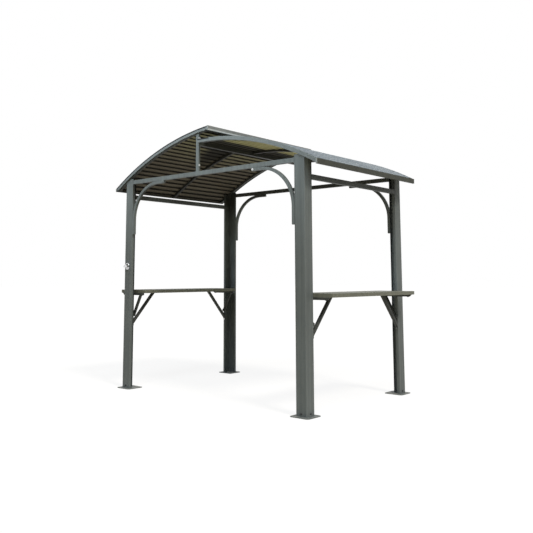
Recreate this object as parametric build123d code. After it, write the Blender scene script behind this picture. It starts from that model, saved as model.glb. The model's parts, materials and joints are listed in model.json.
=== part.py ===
"""Hard-top grill gazebo: four angle posts, a two-tier arched ribbed roof and two side shelves.

Frame: X runs left to right, Y front to back, Z up. The origin is on the ground, midway between the posts.
All lengths are in millimetres and all angles in degrees.
"""
import math
import os

from build123d import *

# Plan and heights
post_span_x = 2160.0
post_span_y = 1490.0
tie_top_z = 1968.0
side_beam_drop = 130.0
shelf_top_z = 914.0

# Corner posts: folded steel angles with returned lips
post_leg = 100.0
post_wall = 2.5
post_lip = 25.0
post_bend = 6.0
post_cut_share = 0.55

# Feet: anchor plate with an upstanding cleat inside the post
plate_side = 178.0
plate_thick = 5.0
plate_corner = 25.0
plate_edge = 39.0
anchor_inset = 24.0
anchor_hole_r = 6.0
cleat_leg = 62.0
cleat_thick = 4.0
cleat_height = 55.0

# Tie beams, side beams and king posts
tie_height = 38.0
tie_depth = 25.0
beam_height = 41.0
beam_depth = 25.0
tube_wall = 2.0
king_x = -98.0
king_width = 35.0
king_depth = 20.0
purlin_height = 40.0
stub_depth = 25.0

# Curved corner braces in the front and back frames
brace_size = 25.0
brace_wall = 2.0
brace_reach = 440.0
brace_drop = 472.0
brace_bend = 333.0

# Roof: arched rafters under ribbed sheets
roof_overhang_y = 20.0
eave_overhang_x = 138.0
rafter_height = 22.0
rafter_depth = 25.0
rafter_wall = 2.0
upper_seat_rise = 40.1
upper_pitch = 32.5
upper_straight_x = 73.0
upper_bend = 2700.0
upper_lap = 132.5
upper_tail_cut = 13.0
vent_gap = 72.8
lower_seat_rise = 44.4
lower_crown_reach = 38.7

# Ribbed sheet with an upturned verge
sheet_thick = 1.5
rib_height = 9.0
rib_pitch = 63.5
rib_base_share = 0.46
rib_top_share = 0.26
rib_end_margin = 10.0
verge_thick = 2.0

# Eave and edge trims
trim_thick = 2.5
trim_drop = 2.0
trim_lip = 14.0
trim_rise = 1.0

# Side shelves: folded trays with a stiffening channel beneath
shelf_width = 354.0
shelf_edge = 30.0
shelf_thick = 2.0
shelf_gap = 5.0
shelf_offset = 2.0
shelf_corner = 6.0
stiffener_width = 44.0

# Shelf brackets
arm_inset = 27.0
arm_height = 20.0
arm_depth = 19.0
arm_bevel = 22.0
inner_strut_reach = 96.0
inner_strut_gap = 30.0
strut_size = 16.0
long_strut_reach = 257.0
long_strut_drop = 285.0
strut_ear_length = 17.0
strut_ear_thick = 4.0

# Bottle opener on the front left post
opener_z = 1140.0
opener_inset = 42.0
opener_width = 52.0
opener_height = 60.0
opener_thick = 4.0
opener_corner_share = 0.32
opener_hood = 26.0
opener_hood_wall = 5.0
opener_droop_share = 0.38

# Sizes that follow
half_x = post_span_x / 2
half_y = post_span_y / 2
roof_half_y = half_y + roof_overhang_y
sheet_top = sheet_thick + rib_height
clear_x = half_x - post_leg
clear_y = half_y - post_leg
far = post_span_x * 2
king_right = king_x + king_width / 2
eave_x = half_x + eave_overhang_x
rafter_end_x = eave_x - trim_thick
upper_end_x = king_right + upper_lap
upper_stop_x = upper_end_x - trim_thick
upper_slope = math.radians(upper_pitch)


def upper_path(offset):
    """Straight start, its end and the bend's centre for a line parallel to the upper rafter's top.

    Heights are measured from the eave end of the rafter's top.
    """
    out_x = -math.sin(upper_slope)
    out_z = math.cos(upper_slope)
    start = (-rafter_end_x + out_x * offset, out_z * offset)
    run = upper_straight_x
    knee = (start[0] + run, start[1] + run * math.tan(upper_slope))
    centre = (knee[0] - out_x * (upper_bend + offset), knee[1] - out_z * (upper_bend + offset))
    return start, knee, centre


def upper_rise(x, offset):
    """Height of the line parallel to the upper rafter's top over that rafter's eave end."""
    start, knee, centre = upper_path(offset)
    if x <= knee[0]:
        return start[1] + (x - start[0]) * math.tan(upper_slope)
    return centre[1] + math.sqrt((upper_bend + offset) ** 2 - (x - centre[0]) ** 2)


upper_eave_z = tie_top_z + upper_seat_rise - upper_rise(-clear_x, -rafter_height)


def upper_z(x, offset):
    """Height of the line parallel to the upper rafter's top."""
    return upper_eave_z + upper_rise(x, offset)


lower_crown_x = king_right + lower_crown_reach
lower_crown_z = upper_z(upper_end_x, -rafter_height) - vent_gap - sheet_top
lower_fall = lower_crown_z - rafter_height - tie_top_z - lower_seat_rise
lower_span = clear_x - lower_crown_x
lower_bend = rafter_height + (lower_span ** 2 + lower_fall ** 2) / (2 * lower_fall)


def lower_z(x, offset):
    """Height of the line parallel to the lower rafter's top."""
    drop = lower_bend - math.sqrt((lower_bend + offset) ** 2 - (x - lower_crown_x) ** 2)
    return lower_crown_z - drop


def upper_edge(x_from, x_to, offset):
    """Edges of a line parallel to the upper rafter between two plan positions."""
    knee_x = upper_path(offset)[1][0]
    knee = (knee_x, upper_z(knee_x, offset))
    middle = (knee_x + x_to) / 2
    straight = Line((x_from, upper_z(x_from, offset)), knee)
    bend = ThreePointArc(knee, (middle, upper_z(middle, offset)), (x_to, upper_z(x_to, offset)))
    return [straight, bend]


def lower_edge(x_from, x_to, offset):
    """Edge of a line parallel to the lower rafter between two plan positions."""
    middle = (x_from + x_to) / 2
    ends = [(x, lower_z(x, offset)) for x in (x_from, middle, x_to)]
    return [ThreePointArc(*ends)]


def band(edge_of, x_from, x_to, low, high):
    """Face between two parallel roof lines, cut plumb at both ends."""
    under = edge_of(x_from, x_to, low)
    over = edge_of(x_from, x_to, high)
    left = Line(under[0] @ 0, over[0] @ 0)
    right = Line(under[-1] @ 1, over[-1] @ 1)
    return make_face(under + over + [left, right])


def along_y(face, y_from, y_to):
    """Solid made from a front-view face between two depths."""
    upright = Plane(origin=(0, y_from, 0), x_dir=(1, 0, 0), z_dir=(0, -1, 0))
    return extrude(upright * face, amount=y_from - y_to)


def tube(size_a, size_b, wall, length):
    """Square-cut rectangular tube along Z with softened corners."""
    ring = RectangleRounded(size_a, size_b, wall) - Rectangle(size_a - 2 * wall, size_b - 2 * wall)
    return extrude(ring, amount=length)


def tube_x(x_from, x_to, y_mid, z_mid, depth, height, wall):
    """Rectangular tube running along X."""
    spot = Plane(origin=(x_from, y_mid, z_mid), x_dir=(0, 1, 0), z_dir=(1, 0, 0))
    return spot * tube(depth, height, wall, x_to - x_from)


def tube_y(y_from, y_to, x_mid, z_mid, width, height, wall):
    """Rectangular tube running along Y."""
    spot = Plane(origin=(x_mid, y_from, z_mid), x_dir=(-1, 0, 0), z_dir=(0, 1, 0))
    return spot * tube(width, height, wall, y_to - y_from)


def corner_face(side_x, side_y, outline):
    """Plan face from points measured inward from a post's outer corner."""
    spots = [(side_x * (half_x - u), side_y * (half_y - v)) for u, v in outline]
    return make_face(Polyline(*spots, close=True))


def round_off(face, side_x, side_y, corners, radius):
    """Round chosen corners of a plan face."""
    chosen = []
    for u, v in corners:
        spot = Vector(side_x * (half_x - u), side_y * (half_y - v), 0)
        chosen.append(min(face.vertices(), key=lambda vertex: (vertex.center() - spot).length))
    return fillet(chosen, radius)


def roof_block(edge_of, x_from, x_to):
    """Everything above the underside of a rafter, used to trim what stands below it."""
    under = edge_of(x_from, x_to, -rafter_height)
    left = Line(under[0] @ 0, ((under[0] @ 0).X, far))
    top = Line(left @ 1, ((under[-1] @ 1).X, far))
    right = Line(top @ 1, under[-1] @ 1)
    return along_y(make_face(under + [left, top, right]), -far, far)


upper_block = roof_block(upper_edge, -eave_x, upper_end_x)
lower_block = roof_block(lower_edge, king_right, eave_x)


def make_post(side_x, side_y):
    """Folded angle post with returned lips, cut level inside and along the rafter outside."""
    leg = post_leg
    wall = post_wall
    lip = post_lip
    outline = [(0, 0), (leg, 0), (leg, lip), (leg - wall, lip), (leg - wall, wall), (wall, wall)]
    outline += [(wall, leg - wall), (lip, leg - wall), (lip, leg), (0, leg)]
    face = corner_face(side_x, side_y, outline)
    face = round_off(face, side_x, side_y, [(0, 0), (leg, 0), (0, leg)], post_bend)
    inner = [(wall, wall), (leg - wall, wall), (wall, leg - wall)]
    face = round_off(face, side_x, side_y, inner, post_bend - wall)
    line_z = upper_z if side_x < 0 else lower_z
    outer_z = line_z(side_x * half_x, -rafter_height)
    inner_z = line_z(side_x * clear_x, -rafter_height)
    blank_z = outer_z + (inner_z - outer_z) * post_cut_share
    post = Pos(0, 0, plate_thick) * extrude(face, amount=blank_z - plate_thick)
    return post - (upper_block if side_x < 0 else lower_block)


def make_foot(side_x, side_y):
    """Anchor plate with four holes and a folded cleat that the post is screwed to."""
    middle = (plate_side / 2) - plate_edge
    x_mid = side_x * (half_x - middle)
    y_mid = side_y * (half_y - middle)
    plate = RectangleRounded(plate_side, plate_side, plate_corner)
    spread = plate_side - 2 * anchor_inset
    plate -= GridLocations(spread, spread, 2, 2) * Circle(anchor_hole_r)
    foot = Pos(x_mid, y_mid, 0) * extrude(plate, amount=plate_thick)
    near = post_wall
    out = post_wall + cleat_leg
    deep = post_wall + cleat_thick
    outline = [(near, near), (out, near), (out, deep), (deep, deep), (deep, out), (near, out)]
    face = corner_face(side_x, side_y, outline)
    face = round_off(face, side_x, side_y, [(near, near)], post_bend - post_wall)
    cleat = Pos(0, 0, plate_thick) * extrude(face, amount=cleat_height)
    return foot + cleat


def make_brace(side_x, side_y):
    """Bent square tube between a tie beam and a post, tangent to both."""
    top_z = tie_top_z - tie_height - brace_size / 2
    post_x = clear_x - brace_size / 2
    y_mid = side_y * (half_y - brace_size / 2)
    start = (side_x * (clear_x - brace_reach), top_z)
    bend_from = (side_x * (post_x - brace_bend), top_z)
    bend_to = (side_x * post_x, top_z - brace_bend)
    stop = (side_x * post_x, top_z - brace_drop)
    bow = brace_bend * (1 - math.sqrt(2) / 2)
    crest = (side_x * (post_x - bow), top_z - bow)
    run = Line(start, bend_from)
    bend = ThreePointArc(bend_from, crest, bend_to)
    fall = Line(bend_to, stop)
    upright = Plane(origin=(0, y_mid, 0), x_dir=(1, 0, 0), z_dir=(0, -1, 0))
    path = upright * Wire([run, bend, fall])
    bore = brace_size - 2 * brace_wall
    ring = Rectangle(brace_size, brace_size) - Rectangle(bore, bore)
    section = Plane(origin=path @ 0, x_dir=(0, 1, 0), z_dir=path % 0) * ring
    return sweep(section, path=path)


def make_rafter(edge_of, x_from, x_to, y_mid):
    """Bent rectangular tube cut plumb at both ends."""
    outer = band(edge_of, x_from, x_to, -rafter_height, 0)
    inner = band(edge_of, x_from, x_to, rafter_wall - rafter_height, -rafter_wall)
    half = rafter_depth / 2
    hollow = half - rafter_wall
    shell = along_y(outer, y_mid - half, y_mid + half)
    return shell - along_y(inner, y_mid - hollow, y_mid + hollow)


def rib_face(spot, tilt, low_width, high_width, low, high):
    """Trapezoid across one rib, set square to the roof line."""
    corners = [(-low_width / 2, low), (low_width / 2, low), (high_width / 2, high), (-high_width / 2, high)]
    return Pos(spot[0], spot[1]) * Rot(0, 0, tilt) * make_face(Polyline(*corners, close=True))


def upper_run(x_to):
    """Length along the upper rafter's top from its eave to a plan position on the bend."""
    centre = upper_path(0)[2]
    tilt = math.asin((centre[0] - x_to) / upper_bend)
    return upper_straight_x / math.cos(upper_slope) + upper_bend * (upper_slope - tilt)


def upper_station(run):
    """Point and tilt at a distance along the upper rafter's top."""
    start, _, centre = upper_path(0)
    straight = upper_straight_x / math.cos(upper_slope)
    lean = upper_slope - max(0, run - straight) / upper_bend
    x = start[0] + run * math.cos(upper_slope) if run <= straight else centre[0] - upper_bend * math.sin(lean)
    return (x, upper_z(x, 0)), math.degrees(lean)


def lower_lean(x):
    """Tilt of the lower rafter at a plan position, in radians from level."""
    return math.asin((x - lower_crown_x) / lower_bend)


def lower_run(x_to):
    """Length along the lower rafter's top from the king post to a plan position."""
    return lower_bend * (lower_lean(x_to) - lower_lean(king_right))


def lower_station(run):
    """Point and tilt at a distance along the lower rafter's top, from the king post."""
    lean = lower_lean(king_right) + run / lower_bend
    x = lower_crown_x + lower_bend * math.sin(lean)
    return (x, lower_z(x, 0)), -math.degrees(lean)


def make_sheet(edge_of, station, length, x_from, x_to):
    """Front half of an arched sheet, with pressed ribs that run back from its upturned verge."""
    flat = band(edge_of, x_from, x_to, 0, sheet_thick)
    room = length - 2 * rib_end_margin - rib_pitch * rib_base_share
    count = int(room / rib_pitch) + 1
    base = rib_pitch * rib_base_share
    first = rib_end_margin + base / 2
    crest = rib_pitch * rib_top_share
    slant = (base - crest) / 2
    skin = sheet_thick * (math.hypot(slant, rib_height) - slant) / rib_height
    ribs = []
    hollows = []
    for index in range(count):
        spot, tilt = station(first + index * rib_pitch)
        ribs.append(rib_face(spot, tilt, base + 2 * skin, crest + 2 * skin, 0, sheet_top))
        foot = slant / rib_height * sheet_thick
        hollows.append(rib_face(spot, tilt, base + 2 * foot, crest, -sheet_thick, rib_height))
    profile = flat + ribs
    profile -= hollows
    y_verge = verge_thick - roof_half_y
    verge = along_y(band(edge_of, x_from, x_to, 0, sheet_top), -roof_half_y, y_verge)
    return along_y(profile, y_verge, 0) + verge


def make_trim(x_face, inward, line_z, tail_cut):
    """Folded strip that closes the ends of a roof tier, with a lip turned in below its rafters."""
    back = x_face + inward * trim_thick
    reach = x_face + inward * trim_lip
    z_top = line_z(back, sheet_top) + trim_rise
    under = min(line_z(back, -rafter_height), line_z(reach, -rafter_height))
    low = under + tail_cut - trim_drop - trim_thick
    corners = [(x_face, z_top), (back, z_top), (back, low + trim_thick), (reach, low + trim_thick)]
    corners += [(reach, low), (x_face, low)]
    return along_y(make_face(Polyline(*corners, close=True)), -roof_half_y, roof_half_y)


shelf_mid = half_x - shelf_offset
shelf_half_y = clear_y - shelf_gap
shelf_low_z = shelf_top_z - shelf_edge
arm_half = shelf_width / 2 - arm_inset
long_slant = math.hypot(long_strut_reach, long_strut_drop)
long_rise = strut_size * long_slant / long_strut_reach
long_foot_z = shelf_low_z - long_strut_drop
lip_mid = half_x - post_lip / 2


def make_shelf(side_x):
    """Folded tray, open below, with a channel that stiffens it lengthwise."""
    outer = extrude(RectangleRounded(shelf_width, 2 * shelf_half_y, shelf_corner), amount=shelf_edge)
    room_x = shelf_width - 2 * shelf_thick
    room_y = 2 * (shelf_half_y - shelf_thick)
    inside = RectangleRounded(room_x, room_y, shelf_corner - shelf_thick)
    tray = outer - extrude(inside, amount=shelf_edge - shelf_thick)
    slot = stiffener_width - 2 * shelf_thick
    rail = Rectangle(stiffener_width, room_y) - Rectangle(slot, room_y)
    sole = extrude(Rectangle(stiffener_width, room_y), amount=shelf_thick)
    channel = extrude(rail, amount=shelf_edge - shelf_thick) + sole
    tray += Pos(lip_mid - shelf_mid, 0, 0) * channel
    placed = Pos(shelf_mid, 0, shelf_low_z) * tray
    return placed if side_x > 0 else mirror(placed, about=Plane.YZ)


def make_bracket(side_x, side_y):
    """Cross arm under a shelf end with a strut down to the post's lip."""
    arm_low = shelf_low_z - arm_height
    left = shelf_mid - arm_half
    right = shelf_mid + arm_half
    arm_points = [(left, arm_low), (right - arm_bevel, arm_low), (right, shelf_low_z), (left, shelf_low_z)]
    arm = make_face(Polyline(*arm_points, close=True))
    foot_x = lip_mid
    head_x = lip_mid - inner_strut_reach
    foot_z = long_foot_z + long_rise + arm_depth * long_strut_drop / long_strut_reach + inner_strut_gap
    fall = arm_low - foot_z
    side = strut_size / 2 * math.hypot(inner_strut_reach, fall) / fall
    strut_points = [(foot_x - side, foot_z), (foot_x + side, foot_z)]
    strut_points += [(head_x + side, arm_low), (head_x - side, arm_low)]
    strut = make_face(Polyline(*strut_points, close=True))
    back = along_y(arm + strut, -clear_y, arm_depth - clear_y)
    if side_y > 0:
        back = mirror(back, about=Plane.XZ)
    return back if side_x > 0 else mirror(back, about=Plane.YZ)


def make_long_strut(side_x, side_y):
    """Diagonal strut from a post's lip to the shelf's channel, with a flat ear bolted to the lip."""
    run = strut_size * long_slant / long_strut_drop
    head_y = long_strut_reach - clear_y
    spots = [(-clear_y, long_foot_z), (head_y, shelf_low_z)]
    spots += [(head_y - run, shelf_low_z), (-clear_y, long_foot_z + long_rise)]
    half = strut_size / 2
    upright = Plane(origin=(lip_mid - half, 0, 0), x_dir=(0, 1, 0), z_dir=(1, 0, 0))
    strut = extrude(upright * make_face(Polyline(*spots, close=True)), amount=strut_size)
    tab = Pos(0, (half - strut_ear_length) / 2) * Rectangle(strut_size, strut_ear_length - half)
    tab += Pos(0, half - strut_ear_length) * Circle(half)
    tab += Pos(0, long_rise / 2) * Rectangle(strut_size, long_rise)
    on_lip = Plane(origin=(lip_mid, -clear_y, long_foot_z), x_dir=(1, 0, 0), z_dir=(0, -1, 0))
    strut += extrude(on_lip * tab, amount=-strut_ear_thick)
    if side_y > 0:
        strut = mirror(strut, about=Plane.XZ)
    return strut if side_x > 0 else mirror(strut, about=Plane.YZ)


def make_opener():
    """Cast wall opener: a rounded plate with a drooping hood that catches the cap."""
    front = Plane(origin=(opener_inset - half_x, -half_y, opener_z), x_dir=(1, 0, 0), z_dir=(0, -1, 0))
    outline = RectangleRounded(opener_width, opener_height, opener_width * opener_corner_share)
    plate = extrude(outline, amount=opener_thick)
    bow = opener_width / 2
    upper_half = Pos(0, bow) * Rectangle(opener_width, opener_width)
    outward = (0, -opener_droop_share, 1)
    slant = math.hypot(1, opener_droop_share)
    wall = (Circle(bow) - Circle(bow - opener_hood_wall)) & upper_half
    hood = Pos(0, 0, opener_thick) * extrude(wall, amount=opener_hood * slant, dir=outward)
    cap_rise = opener_thick + opener_hood - opener_hood_wall
    cap_drop = (opener_hood - opener_hood_wall) * opener_droop_share
    lid = extrude(Circle(bow) & upper_half, amount=opener_hood_wall * slant, dir=outward)
    cap = Pos(0, -cap_drop, cap_rise) * lid
    return front * (plate + hood + cap)


def save(name, shape):
    """Write one named piece."""
    export_step(shape, os.path.join("parts", name + ".step"))


os.makedirs("parts", exist_ok=True)
sides_x = {"left": -1, "right": 1}
sides_y = {"front": -1, "back": 1}
tie_mid_z = tie_top_z - tie_height / 2
beam_mid_z = tie_top_z - side_beam_drop - beam_height / 2
purlin_top = lower_z(king_right, 0)
king_top = upper_z(king_right, 0)

for y_name, side_y in sides_y.items():
    y_tie = side_y * (half_y - tie_depth / 2)
    y_king = side_y * (half_y - king_depth / 2)
    for x_name, side_x in sides_x.items():
        corner = y_name + "_" + x_name
        save(corner + "_post", make_post(side_x, side_y))
        save(corner + "_foot", make_foot(side_x, side_y))
        save(corner + "_brace", make_brace(side_x, side_y))
        save(corner + "_shelf_bracket", make_bracket(side_x, side_y))
        save(corner + "_shelf_strut", make_long_strut(side_x, side_y))
    save(y_name + "_tie_beam", tube_x(-clear_x, clear_x, y_tie, tie_mid_z, tie_depth, tie_height, tube_wall))
    king = Pos(king_x, y_king, tie_top_z) * tube(king_width, king_depth, tube_wall, king_top - tie_top_z)
    save(y_name + "_king_post", king - upper_block)

for x_name, side_x in sides_x.items():
    x_beam = side_x * (half_x - beam_depth / 2)
    side_beam = tube_y(-clear_y, clear_y, x_beam, beam_mid_z, beam_depth, beam_height, tube_wall)
    save(x_name + "_side_beam", side_beam)
    save(x_name + "_shelf", make_shelf(side_x))

purlin_reach = half_y - king_depth
purlin_mid_z = purlin_top - purlin_height / 2
purlin = tube_y(-purlin_reach, purlin_reach, king_x, purlin_mid_z, king_width, purlin_height, tube_wall)
save("ridge_purlin", purlin)
stub = Pos(king_x, 0, purlin_top) * tube(king_width, stub_depth, tube_wall, king_top - purlin_top)
save("middle_king_stub", stub - upper_block)

tail_z = upper_z(-rafter_end_x, -rafter_height) + upper_tail_cut
below_tail = Pos(0, 0, tail_z) * Box(far, far, far, align=(Align.CENTER, Align.CENTER, Align.MAX))
rafter_spots = {"front": rafter_depth / 2 - half_y, "middle": 0, "back": half_y - rafter_depth / 2}
for name, y_mid in rafter_spots.items():
    upper_rafter = make_rafter(upper_edge, -rafter_end_x, upper_stop_x, y_mid)
    save("upper_" + name + "_rafter", upper_rafter - below_tail)
    save("lower_" + name + "_rafter", make_rafter(lower_edge, king_right, rafter_end_x, y_mid))

upper_length = upper_run(upper_stop_x)
upper_sheet = make_sheet(upper_edge, upper_station, upper_length, -rafter_end_x, upper_stop_x)
save("upper_front_roof_sheet", upper_sheet)
save("upper_back_roof_sheet", mirror(upper_sheet, about=Plane.XZ))
lower_length = lower_run(rafter_end_x)
lower_sheet = make_sheet(lower_edge, lower_station, lower_length, king_right, rafter_end_x)
save("lower_front_roof_sheet", lower_sheet)
save("lower_back_roof_sheet", mirror(lower_sheet, about=Plane.XZ))

save("left_eave_trim", make_trim(-eave_x, 1, upper_z, upper_tail_cut))
save("right_eave_trim", make_trim(eave_x, -1, lower_z, 0))
save("upper_edge_trim", make_trim(upper_end_x, -1, upper_z, 0))
save("bottle_opener", make_opener())
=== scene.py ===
"""Grill gazebo: paints its steel, roof and shelves, fits its tubes, strips and fasteners, and sets the stage.

Lengths are in metres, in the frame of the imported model: X left to right, Y front to back, Z up.
"""

import json
import math

import bmesh
import bpy
from bpy.props import FloatProperty, FloatVectorProperty, IntProperty, PointerProperty
from mathutils import Matrix, Vector
from mathutils.bvhtree import BVHTree


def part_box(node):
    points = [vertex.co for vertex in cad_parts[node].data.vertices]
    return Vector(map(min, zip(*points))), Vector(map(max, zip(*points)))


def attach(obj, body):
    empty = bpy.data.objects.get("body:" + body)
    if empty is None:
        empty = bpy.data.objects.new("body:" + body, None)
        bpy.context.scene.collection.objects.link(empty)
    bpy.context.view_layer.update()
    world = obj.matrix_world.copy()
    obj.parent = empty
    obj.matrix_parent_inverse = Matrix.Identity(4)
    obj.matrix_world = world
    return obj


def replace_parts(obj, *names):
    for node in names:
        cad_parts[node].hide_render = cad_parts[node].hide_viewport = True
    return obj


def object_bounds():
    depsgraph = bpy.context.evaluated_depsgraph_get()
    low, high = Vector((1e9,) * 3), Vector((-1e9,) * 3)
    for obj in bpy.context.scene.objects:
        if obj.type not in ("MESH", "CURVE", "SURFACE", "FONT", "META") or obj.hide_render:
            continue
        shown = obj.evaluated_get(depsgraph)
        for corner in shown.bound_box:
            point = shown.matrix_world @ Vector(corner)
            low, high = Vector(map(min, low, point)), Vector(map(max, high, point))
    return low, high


bl_info = {
    "name": "Grill gazebo",
    "version": (1, 0, 0),
    "blender": (4, 5, 0),
    "location": "View3D > Sidebar > Gazebo",
    "description": "Finishes, fasteners and stage for a steel grill gazebo",
    "category": "Object",
}

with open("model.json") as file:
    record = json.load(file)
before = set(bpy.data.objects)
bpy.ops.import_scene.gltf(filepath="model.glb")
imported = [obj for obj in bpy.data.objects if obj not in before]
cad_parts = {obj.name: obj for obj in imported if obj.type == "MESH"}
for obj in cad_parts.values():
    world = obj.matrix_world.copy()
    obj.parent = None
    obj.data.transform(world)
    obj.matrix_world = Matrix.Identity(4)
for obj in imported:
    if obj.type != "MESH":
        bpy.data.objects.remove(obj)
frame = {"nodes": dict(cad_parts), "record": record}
cad_low, cad_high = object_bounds()

BODY = "root"
SIDES_X = {"left": -1, "right": 1}
SIDES_Y = {"front": -1, "back": 1}
CORNERS = {f"{y}_{x}": (sx, sy) for y, sy in SIDES_Y.items() for x, sx in SIDES_X.items()}
TIERS = ("upper", "lower")
TRIMS = ("left_eave_trim", "right_eave_trim", "upper_edge_trim")
# Pieces between which a tier's verge strips run
STRIP_ENDS = {
    "upper": ("left_eave_trim", "upper_edge_trim"),
    "lower": ("front_king_post", "right_eave_trim"),
}
SEEN_RAYS = ("Is Camera Ray", "Is Glossy Ray", "Is Transmission Ray")
DOWN = Vector((0, 0, -1))
UP = Vector((0, 0, 1))
WHITE = (1.0, 1.0, 1.0)
# Distance above or below a node at which upright rays towards it start
AWAY = 1.0
# Search for the roof's valleys: its step, and the steps on each side that a height is compared with
SCAN_STEP = 0.002
SCAN_REACH = 17
STRIP_STATIONS = 96
EAR_STEPS = 8
RING_SIDES = 24
BEVEL_STEPS = 2
SHARP_EDGE = math.radians(32)


def colour_property(name, description, default):
    """Colour that a user may change, in linear light."""
    return FloatVectorProperty(
        name=name, description=description, default=default, subtype="COLOR", size=3, min=0, max=1
    )


def length_property(name, description, default):
    """Length that a user may change."""
    return FloatProperty(name=name, description=description, default=default, unit="LENGTH", min=0)


def spot_property(name, description, default):
    """Place that a user may change."""
    return FloatVectorProperty(
        name=name, description=description, default=default, subtype="XYZ", unit="LENGTH", size=3
    )


def angle_property(name, description, degrees):
    """Angle that a user may change."""
    return FloatProperty(name=name, description=description, default=math.radians(degrees), subtype="ANGLE")


def strength_property(name, description, default):
    """Strength of a light that a user may change."""
    return FloatProperty(name=name, description=description, default=default, min=0)


class GazeboFinishes(bpy.types.PropertyGroup):
    """Colours of the coats and metals."""

    frame_colour: colour_property(
        "Frame", "Charcoal powder coat on posts, beams, braces and rafters", (0.114, 0.131, 0.136)
    )
    frame_dark: colour_property(
        "Frame streaks", "Darker tone of the powder coat where rain has run", (0.084, 0.096, 0.099)
    )
    # Painted shade: a near-black tone that the coats take under the roof, on inner faces and on faces that
    # look down
    painted_shade_colour: colour_property(
        "Smoke film", "Brown-black film on the inner faces under the roof", (0.018, 0.018, 0.015)
    )
    roof_colour: colour_property(
        "Roof top", "Blue-grey coat on the weather side of the ribbed sheets", (0.168, 0.200, 0.232)
    )
    roof_chalk: colour_property(
        "Roof chalk", "Paler tone where the roof coat has chalked", (0.262, 0.298, 0.334)
    )
    # Painted shade: the backing coat's olive darkened to brown towards the high tier's eave
    under_painted_shade: colour_property(
        "Backing coat, brown", "Backing coat under the sheets near the high tier's eave",
        (0.104, 0.095, 0.084)
    )
    under_olive: colour_property(
        "Backing coat, olive", "Backing coat under the sheets towards the ridge", (0.235, 0.235, 0.155)
    )
    # Painted light: yellow patches of bounced light on the backing coat under the low tier
    under_painted_bounce: colour_property(
        "Backing coat, yellowed", "Yellowed patches of the backing coat under the low tier",
        (0.400, 0.395, 0.230)
    )
    # Painted shade: the dark tone of the high tier's verge and of a thin band along the verges on top
    painted_verge_shade: colour_property(
        "Verge", "Dark edge of the high tier's sheets", (0.012, 0.015, 0.017)
    )
    strip_colour: colour_property(
        "Verge strips", "Blue-grey coat on the folded strips under the verges", (0.124, 0.141, 0.147)
    )
    # Painted highlight along the folded rim of the high tier's edge strip
    painted_fold_highlight: colour_property(
        "Bright fold", "Bright folded rim of the high tier's edge strip", (0.560, 0.610, 0.630)
    )
    edge_colour: colour_property(
        "Edge strip", "Pale grey coat on the high tier's free edge", (0.200, 0.214, 0.214)
    )
    eave_colour: colour_property(
        "Eave strips", "Dark olive-grey coat on the eave strips", (0.046, 0.049, 0.040)
    )
    bracket_colour: colour_property(
        "Shelf brackets", "Near-black coat on the arms and struts under the shelves", (0.050, 0.054, 0.051)
    )
    shelf_colour: colour_property(
        "Shelf", "Grey-olive coat on the tray shelves", (0.132, 0.137, 0.113)
    )
    dust_colour: colour_property(
        "Dust", "Film of dust on faces that look up", (0.330, 0.325, 0.290)
    )
    zinc_colour: colour_property(
        "Zinc", "Bright zinc of bolts and washers", (0.700, 0.705, 0.700)
    )
    chrome_colour: colour_property(
        "Chrome", "Polished metal of the opener", (0.760, 0.765, 0.770)
    )
    black_colour: colour_property(
        "Black", "Blackened screws and moulded end plugs", (0.020, 0.021, 0.022)
    )


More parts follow.
